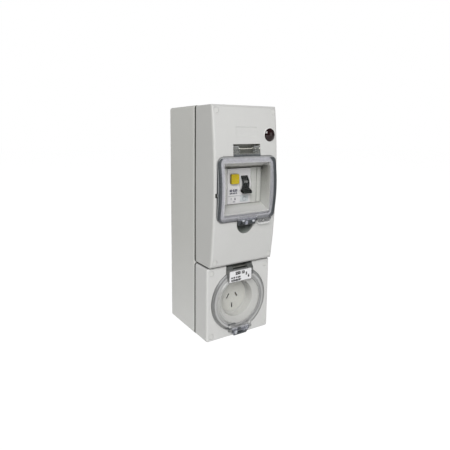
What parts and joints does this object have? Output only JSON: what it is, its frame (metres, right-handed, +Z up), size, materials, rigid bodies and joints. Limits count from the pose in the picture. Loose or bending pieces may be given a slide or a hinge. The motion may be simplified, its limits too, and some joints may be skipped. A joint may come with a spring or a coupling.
{
  "type": "residual current device",
  "caption": "Weatherproof wall unit: residual current device on a rail behind a clear hinged window, lamp above, and a flapped socket outlet below.",
  "frame": {"origin": "centre of the back box's wall face", "axes": "+Z up along the unit's height, +X to the right seen from the front, +Y back into the wall; the front faces -Y"},
  "size_m": [0.101, 0.1161, 0.302],
  "materials": {
    "grey_plastic": "fine moulded grain",
    "dark_rubber": "matte",
    "grey_rubber": "matte",
    "zinc_steel": "zinc plated",
    "rail_steel": "zinc plated",
    "pin_steel": "drawn",
    "spring_steel": "drawn",
    "brass": "as turned",
    "white_plastic": "fine moulded grain",
    "ivory_plastic": "fine moulded grain",
    "black_plastic": "satin",
    "yellow_plastic": "satin",
    "brown_resin": "matte",
    "lens_plastic": "polished",
    "clear_plastic": "polished clear",
    "label_plastic": "satin",
    "red_insulation": "satin",
    "black_insulation": "satin",
    "green_insulation": "satin"
  },
  "bodies": {
    "enclosure": {"back_box": "grey_plastic", "upper_gasket": "dark_rubber", "lower_gasket": "dark_rubber", "upper_cover": "grey_plastic", "lower_cover": "grey_plastic", "cover_screws": "zinc_steel", "screw_caps": "grey_plastic", "conduit_plug": "grey_plastic", "din_rail": "rail_steel", "rail_screws": "zinc_steel", "earth_bar": "brass", "earth_bar_screws": "zinc_steel", "rcd_base": "white_plastic", "rcd_front": "white_plastic", "rcd_rivets": "zinc_steel", "terminal_cages": "brass", "terminal_screws": "zinc_steel", "current_transformer": "brown_resin", "trip_relay": "black_plastic", "fixed_contacts": "brass", "test_spring": "spring_steel", "blanking_strips": "ivory_plastic", "lamp_lens": "lens_plastic", "lamp_body": "black_plastic", "lamp_nut": "black_plastic", "window_hinge_pin": "pin_steel", "socket_insert": "white_plastic", "socket_contacts": "brass", "contact_screws": "zinc_steel", "insert_screws": "zinc_steel", "socket_hinge_pin": "pin_steel", "active_wire": "red_insulation", "neutral_wire": "black_insulation", "earth_wire": "green_insulation", "lamp_wires": "red_insulation"},
    "window_flap": {"window_flap": "clear_plastic", "window_seal": "dark_rubber", "window_latch_pin": "pin_steel"},
    "window_latch": {"window_latch": "clear_plastic"},
    "socket_flap": {"socket_flap": "clear_plastic", "socket_seal": "grey_rubber", "flap_label": "label_plastic", "socket_latch_pin": "pin_steel"},
    "socket_latch": {"socket_latch": "clear_plastic"},
    "toggle": {"rcd_toggle": "black_plastic"},
    "contact_bridge": {"contact_bridge": "brown_resin"},
    "test_button": {"test_button": "yellow_plastic"},
    "rail_clip": {"rail_clip": "black_plastic"}
  },
  "joints": [
    {"name": "window_flap_hinge", "type": "hinge", "parent": "enclosure", "child": "window_flap", "pos_m": [0, -0.10451, 0.0985], "axis": [-1, 0, 0], "range_deg": [0, 110]},
    {"name": "window_latch_pivot", "type": "hinge", "parent": "window_flap", "child": "window_latch", "pos_m": [0, -0.11079, 0.012], "axis": [-1, 0, 0], "range_deg": [0, 40]},
    {"name": "socket_flap_hinge", "type": "hinge", "parent": "enclosure", "child": "socket_flap", "pos_m": [0, -0.0953, -0.05545], "axis": [-1, 0, 0], "range_deg": [0, 90]},
    {"name": "socket_latch_pivot", "type": "hinge", "parent": "socket_flap", "child": "socket_latch", "pos_m": [0, -0.1005, -0.13975], "axis": [-1, 0, 0], "range_deg": [0, 60]},
    {"name": "toggle_throw", "type": "hinge", "parent": "enclosure", "child": "toggle", "pos_m": [0.0085, -0.083, 0.0528], "axis": [-1, 0, 0], "range_deg": [0, 66]},
    {"name": "contact_bridge_turn", "type": "hinge", "parent": "enclosure", "child": "contact_bridge", "pos_m": [0, -0.066, 0.0465], "axis": [1, 0, 0], "range_deg": [0, 12]},
    {"name": "test_button_press", "type": "slide", "parent": "enclosure", "child": "test_button", "axis": [0, 1, 0], "range_m": [0, 0.0025], "stiffness_N_per_m": 400, "deforming": ["test_spring"]},
    {"name": "rail_clip_slide", "type": "slide", "parent": "enclosure", "child": "rail_clip", "axis": [0, 0, -1], "range_m": [0, 0.003], "stiffness_N_per_m": 400}
  ],
  "couplings": [
    {"joint": "contact_bridge_turn", "follows": "toggle_throw", "ratio": 0.18182}
  ]
}
